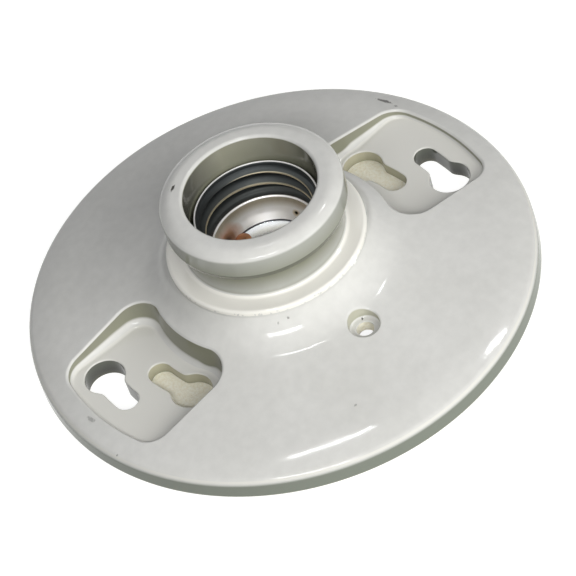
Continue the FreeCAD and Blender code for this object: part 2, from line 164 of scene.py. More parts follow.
# Porcelain body: one pressed and glazed piece. Its turned outline has soft, glaze-rounded corners;
# the pockets, keyholes and bores were pressed from above and the wiring hollow from below.
TURNS = 240


def rounded_path(corners, segment=12.0):
    """Outline through the corners (radius, height, rounding) with an arc at each rounded one."""
    path = []
    for index, (r, z, rounding) in enumerate(corners):
        here = np.array((r, z))
        if not rounding or index in (0, len(corners) - 1):
            path.append(here)
            continue
        before = np.array(corners[index - 1][:2]) - here
        after = np.array(corners[index + 1][:2]) - here
        before, after = before / np.linalg.norm(before), after / np.linalg.norm(after)
        half = math.acos(np.clip(before @ after, -1, 1)) / 2
        run = rounding / math.tan(half)
        middle = (before + after) / np.linalg.norm(before + after)
        centre = here + middle * rounding / math.sin(half)
        first, last = here + before * run - centre, here + after * run - centre
        swept = math.pi - 2 * half
        steps = max(2, math.ceil(math.degrees(swept) / segment))
        for share in np.arange(steps + 1) / steps:
            spoke = first * math.sin((1 - share) * swept) + last * math.sin(share * swept)
            path.append(centre + spoke / math.sin(swept))
    return np.array(path)


def quads(rows, columns, closed=False):
    """Faces between rows of closed loops; closed joins the last row to the first."""
    return [(row * columns + column, row * columns + (column + 1) % columns,
             (row + 1) % rows * columns + (column + 1) % columns, (row + 1) % rows * columns + column)
            for row in range(rows if closed else rows - 1) for column in range(columns)]


class Skin:
    """Patches of a closed surface, joined by the points that they share, each with its own normals."""

    def __init__(self):
        self.points, self.normals, self.bare, self.faces, self.count = [], [], [], [], 0

    def patch(self, points, normals, faces, bare=0.0):
        normals = normals / np.maximum(np.linalg.norm(normals, axis=1, keepdims=True), 1e-12)
        self.points.append(points)
        self.normals.append(normals)
        self.bare.append(np.full(len(points), bare))
        for face in faces:
            corners = points[list(face)]
            facing = np.cross(corners[2] - corners[0], corners[-1] - corners[1])
            order = face if facing @ normals[list(face)].sum(axis=0) >= 0 else face[::-1]
            self.faces.append([corner + self.count for corner in order])
        self.count += len(points)

    def ribbon(self, loops, first=None, last=None, bare=0.0):
        """Quads between closed loops of points, as the wall of a hole: its open side is within them."""
        grid = np.array(loops, float)
        columns = grid.shape[1]
        along = np.roll(grid, -1, axis=1) - np.roll(grid, 1, axis=1)
        across = np.empty_like(grid)
        across[1:-1] = grid[2:] - grid[:-2]
        across[0], across[-1] = grid[1] - grid[0], grid[-1] - grid[-2]
        normals = np.cross(along, across)
        turn = np.sign((grid[0, :, 0] * along[0, :, 1] - grid[0, :, 1] * along[0, :, 0]).sum())
        normals *= np.sign((normals[..., 1] * along[..., 0] - normals[..., 0] * along[..., 1]).sum() * turn)
        if first is not None:
            normals[0] = first
        if last is not None:
            normals[-1] = last
        self.patch(grid.reshape(-1, 3), normals.reshape(-1, 3), quads(len(grid), columns), bare)

    def sheet(self, loops, inner, height, normal, bare=0.0):
        """Triangles that fill the area between closed loops seen from above, first loop outermost."""
        edges, start = [], 0
        for loop in loops:
            edges += [(start + k, start + (k + 1) % len(loop)) for k in range(len(loop))]
            start += len(loop)
        places = np.concatenate([loop[:, :2] for loop in loops] + [np.reshape(inner, (-1, 2))])
        filled, origins = delaunay_2d_cdt([Vector(place) for place in places], edges, [], 0, 1e-7)[2:4]
        source = [origin[0] if origin else None for origin in origins]
        triangles = [[source[corner] for corner in face] for face in filled]
        triangles = np.array([face for face in triangles if None not in face])
        inside = sum(inside_of(places[triangles].mean(axis=1), loop) for loop in loops)
        points = np.column_stack([places, height(places)])
        offset = 0
        for loop in loops:
            if loop.shape[1] == 3:
                points[offset:offset + len(loop), 2] = loop[:, 2]
            offset += len(loop)
        self.patch(points, normal(places), [tuple(face) for face in triangles[inside % 2 == 1]], bare)

    def flat(self, loops, height, upward=1.0, inner=(), bare=0.0):
        """A level sheet between the loops, with its face up or down."""
        self.sheet(loops, inner, lambda places: np.full(len(places), height),
                   lambda places: np.tile((0.0, 0.0, upward), (len(places), 1)), bare)

    def object(self, name, cells_per_mm=2e4):
        """One mesh of all the patches: points in the same small cell are one point."""
        points, normals = np.concatenate(self.points), np.concatenate(self.normals)
        bare = np.concatenate(self.bare)
        cells = np.round(points * cells_per_mm).astype(np.int64)
        first, shared = np.unique(cells, axis=0, return_index=True, return_inverse=True)[1:]
        shared = shared.ravel()
        faces, corners = [], []
        for face in self.faces:
            joined = [shared[corner] for corner in face]
            kept = [k for k in range(len(face)) if joined[k] != joined[k - 1]]
            if len(kept) > 2:
                faces.append([int(joined[k]) for k in kept])
                corners += [face[k] for k in kept]
        mesh = bpy.data.meshes.new(name)
        mesh.from_pydata((points[first] * MM).tolist(), [], faces)
        marks = mesh.attributes.new("bare", "FLOAT", "CORNER")
        marks.data.foreach_set("value", bare[corners])
        mesh.shade_smooth()
        mesh.normals_split_custom_set(normals[corners].tolist())
        return placed(mesh)


def inside_of(places, loop):
    """1 for each place inside the closed loop, 0 for the others."""
    x, y = places[:, 0, None], places[:, 1, None]
    x0, y0 = loop[:, 0], loop[:, 1]
    x1, y1 = np.roll(x0, -1), np.roll(y0, -1)
    with np.errstate(divide="ignore", invalid="ignore"):
        crossing = ((y0 > y) != (y1 > y)) & (x < (x1 - x0) * (y - y0) / (y1 - y0) + x0)
    return crossing.sum(axis=1) % 2


def ring(radius, height, x=0.0, y=0.0, count=TURNS):
    angles = np.arange(count) * 2 * math.pi / count
    return np.column_stack([x + radius * np.cos(angles), y + radius * np.sin(angles), np.full(count, height)])


def at_height(places, height):
    return np.column_stack([places, np.full(len(places), height)])


def turned(skin, path):
    """A surface of revolution; the open side is to the left of the path's run."""
    run = np.diff(path, axis=0)
    side = np.column_stack([-run[:, 1], run[:, 0]])
    lean = np.zeros_like(path)
    lean[:-1] += side
    lean[1:] += side
    points = np.concatenate([ring(r, z) for r, z in path])
    skin.patch(points, np.concatenate([ring(*tilt) for tilt in lean]), quads(len(path), TURNS))


# The plate's top: a cone that rolls over beyond its shoulder and sweeps up as a bell to the ledge
porcelain = Skin()
dome_tilt, edge_tilt = math.radians(10.4), math.radians(20)
bell_centre, bell_radius = np.array((31.51, 20.29)), 10.0
bell_foot = bell_centre - bell_radius * np.array((math.sin(dome_tilt), math.cos(dome_tilt)))
rim_middle, rim_radius = 55.3, 2.0
plate_radius, foot_radius, foot_rounding = 57.5, 56.4, 0.7
dome_edge = rim_middle + rim_radius * math.sin(edge_tilt)
shoulder = 49.5
roll = (dome_edge - shoulder) / (math.tan(edge_tilt) - math.tan(dome_tilt))
ledge_radius, ledge_foot = 22.3, 16.4
seat_radius, seat = 13.4, 11.3


def dome_height(places):
    """Top of the plate at each place: a cone between the bell under the ledge and the shoulder."""
    r = np.hypot(*places.T)
    cone = bell_foot[1] - (r - bell_foot[0]) * math.tan(dome_tilt) - np.maximum(r - shoulder, 0) ** 2 / (2 * roll)
    bell = bell_centre[1] - np.sqrt(np.maximum(bell_radius**2 - (r - bell_centre[0]) ** 2, 0))
    return np.where(r > bell_foot[0], cone, bell)


def dome_slope(places):
    r = np.hypot(*places.T)
    drop = np.sqrt(np.maximum(bell_radius**2 - (r - bell_centre[0]) ** 2, 1e-6))
    bell = (r - bell_centre[0]) / drop
    return np.where(r > bell_foot[0], -math.tan(dome_tilt) - np.maximum(r - shoulder, 0) / roll, bell)


def dome_normal(places):
    r = np.hypot(*places.T)[:, None]
    slope = dome_slope(places)[:, None]
    return np.column_stack([-slope * places / r, np.ones(len(places))])


# The turned outside runs down from the dome over the rim to the foot; the upper part runs from the
# bell over the ledge, up the shade groove, over the collar and down the socket to the shell's seat
rim_centre = np.array((rim_middle, dome_height(np.array([(dome_edge, 0.0)]))[0] - rim_radius * math.cos(edge_tilt)))
rim_arc = [rim_centre + rim_radius * np.array((math.sin(a), math.cos(a)))
           for a in np.linspace(edge_tilt, math.pi / 2, 10)]
foot = rounded_path([(*rim_arc[-1], 0), (plate_radius, 0, foot_rounding), (foot_radius, 0, 0)])
turned(porcelain, np.concatenate([np.array(rim_arc), foot[1:]]))
socket = rounded_path([
    (ledge_radius, ledge_foot, 0), (ledge_radius, 18.2, 0.75), (17.9, 18.2, 1.0), (17.9, 25.7, 0.9),
    (19.6, 25.7, 0.35), (20.2, 27.3, 1.2), (20.2, 31.8, 1.4), (18.2, 33.3, 3.8), (14.7, 33.3, 0.8),
    (14.7, 17.5, 0.8), (seat_radius, seat, 0)])
turned(porcelain, socket[::-1])


def arc(centre, radius, start, stop, spacing=0.45):
    """Points and outward directions along an arc, angles in degrees, without its last point."""
    steps = max(2, math.ceil(abs(math.radians(stop - start)) * radius / spacing))
    angles = np.radians(np.linspace(start, stop, steps + 1)[:-1])
    away = np.column_stack([np.cos(angles), np.sin(angles)])
    return np.array(centre) + radius * away, away


def pocket_outline(steps=31):
    """The pocket's floor outline and its outward directions: two sides and two arcs round the axis."""
    inner, outer, half, corner = 28.6, 51.6, 15.8, 5.0
    rise = half - corner
    inner_x = math.sqrt((inner + corner) ** 2 - rise**2)
    outer_x = math.sqrt((outer - corner) ** 2 - rise**2)
    lean_in, lean_out = math.degrees(math.atan2(rise, inner_x)), math.degrees(math.atan2(rise, outer_x))
    side = np.linspace(inner_x, outer_x, steps + 1)[:-1]
    back_side = side[::-1] + (outer_x - side[-1])
    places, away = arc((0, 0), inner, lean_in, -lean_in)
    runs = [
        arc((inner_x, -rise), corner, 180 - lean_in, 270),
        (np.column_stack([side, np.full(steps, -half)]), np.tile((0.0, -1.0), (steps, 1))),
        arc((outer_x, -rise), corner, -90, -lean_out),
        arc((0, 0), outer, -lean_out, lean_out),
        arc((outer_x, rise), corner, lean_out, 90),
        (np.column_stack([back_side, np.full(steps, half)]), np.tile((0.0, 1.0), (steps, 1))),
        arc((inner_x, rise), corner, 90, 180 + lean_in),
        (places, -away)]
    return np.concatenate([run[0] for run in runs]), np.concatenate([run[1] for run in runs])


def nearest(places, loop):
    """Distance in plan from each place to the nearest point of the loop."""
    parts = np.array_split(places, len(places) // 500 + 1)
    return np.concatenate([np.linalg.norm(part[:, None] - loop[None, :, :2], axis=2).min(axis=1) for part in parts])


def pressed_wall(places, away, floor, draft, floor_rounding, brink_rounding, mouths, mouth_gap=0.2):
    """Loops up a drafted wall, from the floor's edge over its rounding to the brink on the dome; the
    rounding shrinks where the wall is low or a mouth in the floor is near."""
    lean = math.tan(math.radians(draft))
    wall = math.atan2(1, lean)
    slope = (dome_slope(places) * (places * away).sum(axis=1) / np.hypot(*places.T))
    top = dome_height(places)
    meet = (top - floor) * lean / (1 - slope * lean)
    loops = []
    room = nearest(places, np.concatenate(mouths)) - mouth_gap
    floor_rounding = np.minimum(np.minimum(floor_rounding, 0.45 * (top - floor)), room / math.tan(wall / 2))
    run = floor_rounding * math.tan(wall / 2)
    for angle in np.linspace(0, wall, 9):
        s = floor_rounding * math.sin(angle) - run
        z = floor + floor_rounding * (1 - math.cos(angle))
        loops.append(np.column_stack([places + away * s[:, None], z]))
    tilt = np.arctan(slope)
    turn = wall - tilt
    run = brink_rounding * np.tan(turn / 2)
    start_s = meet - run * math.cos(wall)
    start_z = floor + meet / lean - run * math.sin(wall)
    centre_s = start_s + brink_rounding * math.sin(wall)
    centre_z = start_z - brink_rounding * math.cos(wall)
    for share in np.linspace(0, 1, 7):
        angle = wall - turn * share
        s = centre_s - brink_rounding * np.sin(angle)
        z = centre_z + brink_rounding * np.cos(angle)
        loop = np.column_stack([places + away * s[:, None], z])
        if share == 1:
            loop[:, 2] = dome_height(loop[:, :2])
        loops.append(loop)
    return loops


def half_turn(points):
    """The points turned half round the socket's axis."""
    return points * np.array((-1, -1, 1))[:points.shape[1]]


def keyhole_outline(reach, head_angle, head=4.55, half=2.65, blend=0.9):
    """Outline of the round head and the curved slot, with a small rounding where they meet."""
    centre = reach * np.array((math.cos(math.radians(head_angle)), math.sin(math.radians(head_angle))))
    low, high = sorted((0.0, math.radians(head_angle)))

    def distance(places):
        head_gap = np.hypot(*(places - centre).T) - head
        angle = np.clip(np.arctan2(places[:, 1], places[:, 0]), low, high)
        slot_gap = np.hypot(*(places - reach * np.column_stack([np.cos(angle), np.sin(angle)])).T) - half
        share = np.clip(0.5 + 0.5 * (slot_gap - head_gap) / blend, 0, 1)
        return slot_gap * (1 - share) + head_gap * share - blend * share * (1 - share)

    angles = np.linspace(0, 2 * math.pi, 1441)[:-1]
    rays = np.column_stack([np.cos(angles), np.sin(angles)])
    near, far = np.zeros(len(angles)), np.full(len(angles), 20.0)
    for _ in range(40):
        middle = (near + far) / 2
        outside = distance(centre + rays * middle[:, None]) > 0
        far, near = np.where(outside, middle, far), np.where(outside, near, middle)
    dense = centre + rays * near[:, None]
    closed = np.concatenate([dense, dense[:1]])
    run = np.concatenate([[0], np.cumsum(np.hypot(*np.diff(closed, axis=0).T))])
    even = np.linspace(0, run[-1], 97)[:-1]
    places = np.column_stack([np.interp(even, run, closed[:, axis]) for axis in (0, 1)])
    along = np.roll(places, -1, axis=0) - np.roll(places, 1, axis=0)
    away = np.column_stack([along[:, 1], -along[:, 0]])
    return places, away / np.linalg.norm(away, axis=1, keepdims=True)


def mouth(places, away, height, rounding, steps=4):
    """Loops over the rounded mouth of a straight hole, from the flat round it down to its wall."""
    loops = []
    for angle in np.linspace(0, math.pi / 2, steps):
        out = rounding * (1 - math.sin(angle))
        loops.append(at_height(places + away * out, height - rounding * (1 - math.cos(angle))))
    return loops


def clear_of(places, holes, gap, outline=None, edge_gap=0.0):
    """The places inside the outline, outside the holes and further than the gaps from them."""
    keep = np.ones(len(places), bool)
    if outline is not None:
        keep = (inside_of(places, outline) == 1) & (nearest(places, outline) > edge_gap)
    for loop in holes:
        keep &= (inside_of(places, loop) == 0) & (nearest(places, loop) > gap)
    return places[keep]


pocket_floor, web_floor, pocket_draft = 4.4, 1.4, 8.0
pocket_rounding, brink_rounding, mouth_rounding, web_grid = 2.0, 0.6, 0.35, 0.8
outer_reach, outer_turn, inner_reach, inner_turn = 44.45, -11.8, 34.925, 15.7
brinks, underside_holes = [], []
outline, outward = pocket_outline()
outer_places, outer_away = keyhole_outline(outer_reach, outer_turn)
inner_places, inner_away = keyhole_outline(inner_reach, inner_turn)
walls = pressed_wall(outline, outward, pocket_floor, pocket_draft, pocket_rounding, brink_rounding,
                     [outer_places + outer_away * mouth_rounding, inner_places + inner_away * mouth_rounding])
for turn in (lambda points: points, half_turn):
    loops = [turn(loop) for loop in walls]
    porcelain.ribbon(loops, first=(0, 0, 1), last=dome_normal(loops[-1][:, :2]))
    brinks.append(loops[-1])
    through = [turn(loop) for loop in mouth(outer_places, outer_away, pocket_floor, mouth_rounding)]
    blind = [turn(loop) for loop in mouth(inner_places, inner_away, pocket_floor, mouth_rounding)]
    through.append(turn(at_height(outer_places, 0)))
    blind.append(turn(at_height(inner_places, web_floor)))
    for hole in (through, blind):
        porcelain.ribbon(hole, first=(0, 0, 1))
    underside_holes.append(through[-1])
    web = blind[-1]
    low, high = web[:, :2].min(axis=0), web[:, :2].max(axis=0)
    grid = [(x, y) for x in np.arange(low[0], high[0], web_grid) for y in np.arange(low[1], high[1], web_grid)]
    porcelain.flat([web], web_floor, inner=clear_of(np.array(grid), [], 0, web, web_grid * 0.5), bare=1.0)
    porcelain.flat([loops[0], through[0], blind[0]], pocket_floor)

# Roof of the wiring hollow, from the rim inwards over the step to the terminals' boss
bay_radius, boss = 47.5, 6.0
roof_path = rounded_path([(bay_radius, 0, 0), (44.0, 2.4, 2.0), (27.5, 6.0, 2.0), (24.5, 8.6, 0.9), (22.2, 8.6, 0.6),
                          (21.0, boss, 0.4), (0, boss, 0)])


def roof_height(places):
    return np.interp(np.hypot(*places.T), roof_path[::-1, 0], roof_path[::-1, 1])


def roof_normal(places, step=0.05):
    r = np.maximum(np.hypot(*places.T), 1e-6)
    unit = places / r[:, None]
    rise = roof_height(unit * (r + step)[:, None]) - roof_height(unit * np.maximum(r - step, 0)[:, None])
    return np.column_stack([unit * (rise / (2 * step))[:, None], np.full(len(places), -1.0)])


# Counterbored side holes, with a softly flared mouth on the dome
bore_reach, bore_radius, bore_floor, bore_soft = 30.0, 3.4, 8.4, 0.5
drill_radius, drill_rounding = 1.9, 0.2
away = ring(1.0, 0.0, count=56)[:, :2]
mouths, drill_holes = [], []
for way in (1, -1):
    centre = np.array((0.0, bore_reach * way))
    flare = []
    for angle in np.linspace(0, math.pi / 2, 6):
        places = centre + away * (bore_radius + bore_soft * (1 - math.sin(angle)))
        drop = bore_soft * (1 - math.cos(angle))
        flare.append(np.column_stack([places, dome_height(places) - drop]))
    for angle in np.linspace(0, math.pi / 2, 5):
        places = centre + away * (bore_radius - bore_soft * (1 - math.cos(angle)))
        flare.append(at_height(places, bore_floor + bore_soft * (1 - math.sin(angle))))
    porcelain.ribbon(flare, first=dome_normal(flare[0][:, :2]), last=(0, 0, 1))
    drill = centre + away * drill_radius
    pierced = mouth(drill, away, bore_floor, drill_rounding)
    pierced.append(np.column_stack([drill, roof_height(drill)]))
    porcelain.flat([flare[-1], pierced[0]], bore_floor)
    porcelain.ribbon(pierced, first=(0, 0, 1))
    mouths.append(flare[0])
    drill_holes.append(pierced[-1])

# The dome between the bell and the rim, round the pockets and bores
dome_rings = [22.5, 22.8, 23.2, 23.7, 24.3, 25, 25.8, 26.7, 27.8, 29.5, 32, 35, 38, 41, 44, 47, 49.5, 51,
              52.3, 53.6, 54.8]
spread = clear_of(np.concatenate([ring(r, 0.0)[:, :2] for r in dome_rings]), brinks + mouths, 0.35)
edges = [ring(*rim_arc[0]), ring(ledge_radius, ledge_foot)]
porcelain.sheet(edges + brinks + mouths, spread, dome_height, dome_normal)

# Seat for the shell, with the contact's recess and the rivet holes down to the terminals' boss
rivet_reach, rivet_turn, rivet_hole = 8.2, math.radians(100), 1.35
rivet_place = rivet_reach * np.array((math.cos(rivet_turn), math.sin(rivet_turn)))
contact_place = np.array((7.3, 0.0))
recess_low, recess_high, recess_corner, recess_floor = (-4.2, -4.0), (10.6, 4.0), 1.2, 8.3


def soft_box(low, high, rounding):
    """Outline of a rectangle with rounded corners, and its outward directions."""
    runs = []
    middle = (np.array(low) + high) / 2
    for x, y, start in ((high[0], low[1], -90), (high[0], high[1], 0), (low[0], high[1], 90), (low[0], low[1], 180)):
        centre = np.array((x, y)) - np.copysign(rounding, (x, y) - middle)
        angles = np.radians(np.linspace(start, start + 90, 6))
        away = np.column_stack([np.cos(angles), np.sin(angles)])
        runs.append((centre + rounding * away, away))
    return np.concatenate([run[0] for run in runs]), np.concatenate([run[1] for run in runs])


recess_places, recess_away = soft_box(recess_low, recess_high, recess_corner)
recess_loops = mouth(recess_places, recess_away, seat, 0.25)
recess_loops.append(at_height(recess_places, recess_floor))
porcelain.ribbon(recess_loops, first=(0, 0, 1))
tops, bases = [], []
for place, top in ((rivet_place, seat), (-rivet_place, seat), (contact_place, recess_floor)):
    tops.append(ring(rivet_hole, top, *place, count=24))
    bases.append(ring(rivet_hole, boss, *place, count=24))
    porcelain.ribbon([tops[-1], bases[-1]])
porcelain.flat([recess_loops[-1], tops[2]], recess_floor)
porcelain.flat([ring(seat_radius, seat), recess_loops[0], tops[0], tops[1]], seat)
screw_reach, screw_hole, screw_roof = 13.5, 2.1, 9.6
screw_loops = []
for way in (1, -1):
    base, top = (ring(screw_hole, z, screw_reach * way, 0, 32) for z in (boss, screw_roof))
    porcelain.ribbon([base, top])
    porcelain.flat([top], screw_roof, -1.0)
    screw_loops.append(base)

# Underside: the flat rim and pads that meet the box, and the hollow's roof between them
pad_half, pad_start, bay_slack = 20.5, 21.5, 0.01
edge_angle = math.degrees(math.asin(pad_half / bay_radius))
upper, _ = arc((0, 0), bay_radius, edge_angle, 180 - edge_angle, 1.2)
corner = math.sqrt(bay_radius**2 - pad_half**2)
left_run = np.column_stack([np.linspace(-corner, -pad_start, 20)[:-1], np.full(19, pad_half)])
down_run = np.column_stack([np.full(24, -pad_start), np.linspace(pad_half, -pad_half, 25)[:-1]])
back_run = np.column_stack([np.linspace(-pad_start, -corner, 20)[:-1], np.full(19, -pad_half)])
side_run = np.concatenate([upper, left_run, down_run, back_run])
bay = np.concatenate([side_run, half_turn(side_run)])
bay_low = at_height(bay, 0)
bay_high = np.column_stack([bay, roof_height(bay)])
bay_high[np.hypot(bay[:, 0], bay[:, 1]) > bay_radius - bay_slack, 2] = 0
porcelain.ribbon([bay_low, bay_high])
porcelain.flat([ring(foot_radius, 0.0), bay_low] + underside_holes, 0.0, -1.0)
openings = drill_holes + bases + screw_loops
roof_rings = [46, 44.8, 43.6, 42, 40, 37, 34, 31, 29, 28, 27, 26, 25.2, 24.6, 24.1, 23.2, 22.4, 22, 21.6, 21.2,
              20.9, 20]
spread = clear_of(np.concatenate([ring(r, 0.0, count=144)[:, :2] for r in roof_rings]), openings, 0.2, bay, 0.3)
porcelain.sheet([bay_high] + openings, spread, roof_height, roof_normal)
body = porcelain.object("porcelain")


def material(name, metallic=0.0):
    """A new node material: its tree and its shader."""
    made = bpy.data.materials.new(name)
    made.use_nodes = True
    shader = made.node_tree.nodes["Principled BSDF"]
    shader.inputs["Metallic"].default_value = metallic
    return made, made.node_tree, shader


def ramp(tree, source, stops):
    """A colour ramp over the source; stops are (place, grey or colour)."""
    node = wire(tree, "ShaderNodeValToRGB", [("Fac", source)])
    colours = node.color_ramp.elements
    while len(colours) < len(stops):
        colours.new(0.5)
    for element, (place, colour) in zip(colours, stops):
        element.position = place
        element.color = (colour, colour, colour, 1) if isinstance(colour, float) else (*colour, 1)
    return node.outputs["Color"]


def mixed(tree, share, first, second, mode="MIX"):
    sources = [(*source, 1) if isinstance(source, tuple) else source for source in (share, first, second)]
    node = wire(tree, "ShaderNodeMix", zip((0, 6, 7), sources), data_type="RGBA", blend_type=mode)
    return node.outputs[2]


def noise(tree, scale, detail=3.0, roughness=0.5, place=None):
    place = place or wire(tree, "ShaderNodeTexCoord").outputs["Object"]
    links = [("Scale", scale), ("Detail", detail), ("Roughness", roughness), ("Vector", place)]
    return wire(tree, "ShaderNodeTexNoise", links).outputs["Fac"]


def wander(tree, size, *settings):
    """Noise about zero that spans size."""
    return times(tree, sums(tree, "SUBTRACT", noise(tree, *settings), 0.5), size)


def times(tree, first, second):
    return sums(tree, "MULTIPLY", first, second)


def between(tree, source, low, high):
    """1 where the source lies between low and high, in millimetres."""
    return sums(tree, "COMPARE", source, (low + high) / 2 * MM, (high - low) / 2 * MM)


def bearings(tree):
    """Place on the piece, its X, Y and Z, and the distance from the socket's axis."""
    where = wire(tree, "ShaderNodeTexCoord").outputs["Object"]
    axes = wire(tree, "ShaderNodeSeparateXYZ", [(0, where)]).outputs
    flat = wire(tree, "ShaderNodeCombineXYZ", [("X", axes["X"]), ("Y", axes["Y"])]).outputs[0]
    return where, axes, vector(tree, "LENGTH", flat)["Value"]


def fleck(tree, where, place, size, turn, ragged, soft=0.2):
    """Mask of one mark: an ellipse of the half sizes in millimetres, turned in plan, ragged at its edge."""
    held = vector(tree, "SUBTRACT", where, tuple(value * MM for value in place))[0]
    spun = wire(tree, "ShaderNodeVectorRotate", [("Vector", held), ("Angle", math.radians(-turn))],
                rotation_type="Z_AXIS").outputs[0]
    sized = vector(tree, "MULTIPLY", spun, tuple(1 / (value * MM) for value in size))[0]
    edge = sums(tree, "ADD", vector(tree, "LENGTH", sized)["Value"], ragged)
    return fade(tree, edge, 1 + soft, 1 - soft)


def bump(tree, strength, distance, height, under=None):
    """Relief from a height, laid over the relief under it."""
    links = [("Strength", strength), ("Distance", distance), ("Height", height)]
    return wire(tree, "ShaderNodeBump", links + ([("Normal", under)] if under else [])).outputs["Normal"]


def dress(tree, shader, colour, gloss, relief):
    for socket, source in (("Base Color", colour), ("Roughness", gloss), ("Normal", relief)):
        tree.links.new(source, shader.inputs[socket])


# Marks seen on the piece: place, half sizes, direction in plan (degrees) and darkness. A chip by the far keyhole
# pocket, a pit on the ring and small kiln specks. Then painted glints: white spots that stand in for highlights on the
# ledge and at the groove's foot
MARKS = [
    ((49.8, 19.4, 5.7), (1.9, 0.42, 1.2), -75, 0.85), ((50.2, 15.8, 5.9), (0.5, 0.3, 0.6), -75, 0.5),
    ((-10.6, 13.35, 33.3), (0.85, 0.3, 1.5), 27, 1.0), ((-53.5, 0.9, 5.9), (1.1, 0.4, 0.6), 100, 0.4),
    ((-15.0, -43.2, 7.5), (0.3, 0.2, 0.5), 0, 0.35), ((-11.4, -19.9, 15.2), (0.25, 0.25, 0.3), 0, 0.45),
    ((-13.5, -18.8, 14.7), (0.25, 0.25, 0.3), 0, 0.3), ((-55.7, -10.6, 4.9), (0.35, 0.25, 0.35), 40, 0.5),
    ((1.4, -27.5, 8.7), (0.25, 0.3, 0.4), 0, 0.9)]
PAINTED_GLINTS = [
    ((7.4, -21.2, 17.5), (1.5, 0.6, 0.9), 20), ((6.6, -17.2, 18.4), (0.8, 0.4, 0.5), 25),
    ((9.6, -20.3, 17.7), (0.5, 0.4, 0.5), 20)]

# Glaze: cloudy grey-white, creamier on the pockets' floors, with a faint orange peel
glaze, tree, glazed = material("glazed_porcelain")
where, axes, reach = bearings(tree)
height = axes["Z"]
upright = wire(tree, "ShaderNodeSeparateXYZ", [(0, wire(tree, "ShaderNodeTexCoord").outputs["Normal"])]).outputs["Z"]
cloud = ramp(tree, noise(tree, 45.0, 4.0), [(0.35, (0.645, 0.643, 0.618)), (0.65, (0.680, 0.678, 0.656))])
mottle = ramp(tree, noise(tree, 420.0), [(0.3, 0.94), (0.7, 1.0)])
colour = mixed(tree, 1.0, cloud, mottle, "MULTIPLY")
colour = mixed(tree, between(tree, height, 4.2, 4.6), colour, (0.690, 0.682, 0.640))


def zone(radii, heights):
    """1 in the ring between two radii and two heights, in millimetres."""
    return times(tree, between(tree, reach, *radii), between(tree, height, *heights))


# Steep walls are painted a darker olive: partly the body showing through thin glaze and partly painted shade. Painted
# shade darkens the through keyholes, the rim's edge (grey-green), the collar and groove and the mouth, with a painted
# shadow on one side of the mouth
steep = fade(tree, upright, 0.5, 0.1, kind="SMOOTHSTEP")
steep = times(tree, steep, sums(tree, "SUBTRACT", 1.0, between(tree, reach, 21.6, 24.5)))
in_floor = between(tree, height, -0.2, 4.42)
# painted shade: the through keyholes darken towards their bottom
keyhole_shade = fade(tree, height, 0.0044, 0.0008)
# painted shadow across one side of the mouth's inside
mouth_shadow = fade(tree, vector(tree, "DOT_PRODUCT", where, (-0.68, 0.73, 0.0))["Value"], 0.0085, 0.0142)
# painted shade in corners: ambient occlusion darkens the colour where surfaces close in
corners = wire(tree, "ShaderNodeAmbientOcclusion", [("Distance", 0.003)], samples=8).outputs["AO"]
thin_glaze_and_shade = mixed(tree, in_floor, (0.195, 0.197, 0.132), (0.44, 0.42, 0.30))
for share, tint in (
        # through keyholes (painted shade, darker towards the bottom), side bores, rim's edge (painted shade)
        (zone((39.7, 50.0), (-0.2, 4.42)), mixed(tree, keyhole_shade, (0.060, 0.070, 0.046), (0.010, 0.012, 0.008))),
        (times(tree, between(tree, axes["X"], -5.0, 5.0), between(tree, height, 8.2, 12.0)), (0.48, 0.475, 0.38)),
        # painted shade: the rim's edge is painted a darker grey-green
        (between(tree, reach, 55.5, 60.0), (0.160, 0.182, 0.145)),
        # collar and groove (painted shade), a painted shadow at the groove's top under the collar, painted shade on the
        # collar's lower edge, and a dark painted shadow on what faces down under it
        (zone((17.0, 20.7), (18.0, 40.0)), (0.37, 0.375, 0.345)),
        (times(tree, fade(tree, height, 0.0200, 0.0240), between(tree, reach, 17.0, 19.2)), (0.17, 0.175, 0.115)),
        (times(tree, fade(tree, height, 0.0315, 0.0272), between(tree, reach, 19.2, 20.7)), (0.26, 0.27, 0.215)),
        (times(tree, sums(tree, "LESS_THAN", upright, -0.15), between(tree, height, 24.0, 27.5)), (0.07, 0.075, 0.042)),
        # inside of the mouth (painted shade, with a painted shadow on one side), and painted shade in narrow corners
        # anywhere
        (zone((12.0, 15.2), (11.0, 32.5)), mixed(tree, mouth_shadow, (0.225, 0.225, 0.165), (0.045, 0.045, 0.032))),
        (ramp(tree, corners, [(0.25, 1.0), (0.8, 0.0)]), (0.20, 0.205, 0.13))):
    thin_glaze_and_shade = mixed(tree, share, thin_glaze_and_shade, tint)
# steep walls take the darker colour: thin glaze together with painted shade
colour = mixed(tree, times(tree, steep, 0.92), colour, thin_glaze_and_shade)

# The ledge is painted a pale cream, partly its own colour and partly a painted highlight; bare clay shows on the
# knock-out webs and in the wiring hollow
ledge_edge = sums(tree, "ADD", reach, wander(tree, 0.0012, 900.0, 3.0, 0.6))
ledge = times(tree, sums(tree, "LESS_THAN", ledge_edge, 0.0224), between(tree, height, 17.0, 18.6))
colour = mixed(tree, times(tree, ledge, sums(tree, "SUBTRACT", 1.0, steep)), colour, (0.86, 0.845, 0.79))
grain = noise(tree, 1500.0, 4.0, 0.7)
clay = ramp(tree, grain, [(0.35, (0.84, 0.79, 0.63)), (0.6, (0.93, 0.91, 0.79)), (0.75, (0.97, 0.96, 0.90))])
webs = wire(tree, "ShaderNodeAttribute", attribute_name="bare").outputs["Fac"]
below = times(tree, sums(tree, "LESS_THAN", upright, -0.5), between(tree, height, -1.0, 10.4))
past_pads = sums(tree, "GREATER_THAN", sums(tree, "ABSOLUTE", axes["Y"]), 0.0185)
hollow = sums(tree, "MAXIMUM", past_pads, sums(tree, "LESS_THAN", sums(tree, "ABSOLUTE", axes["X"]), 0.0225))
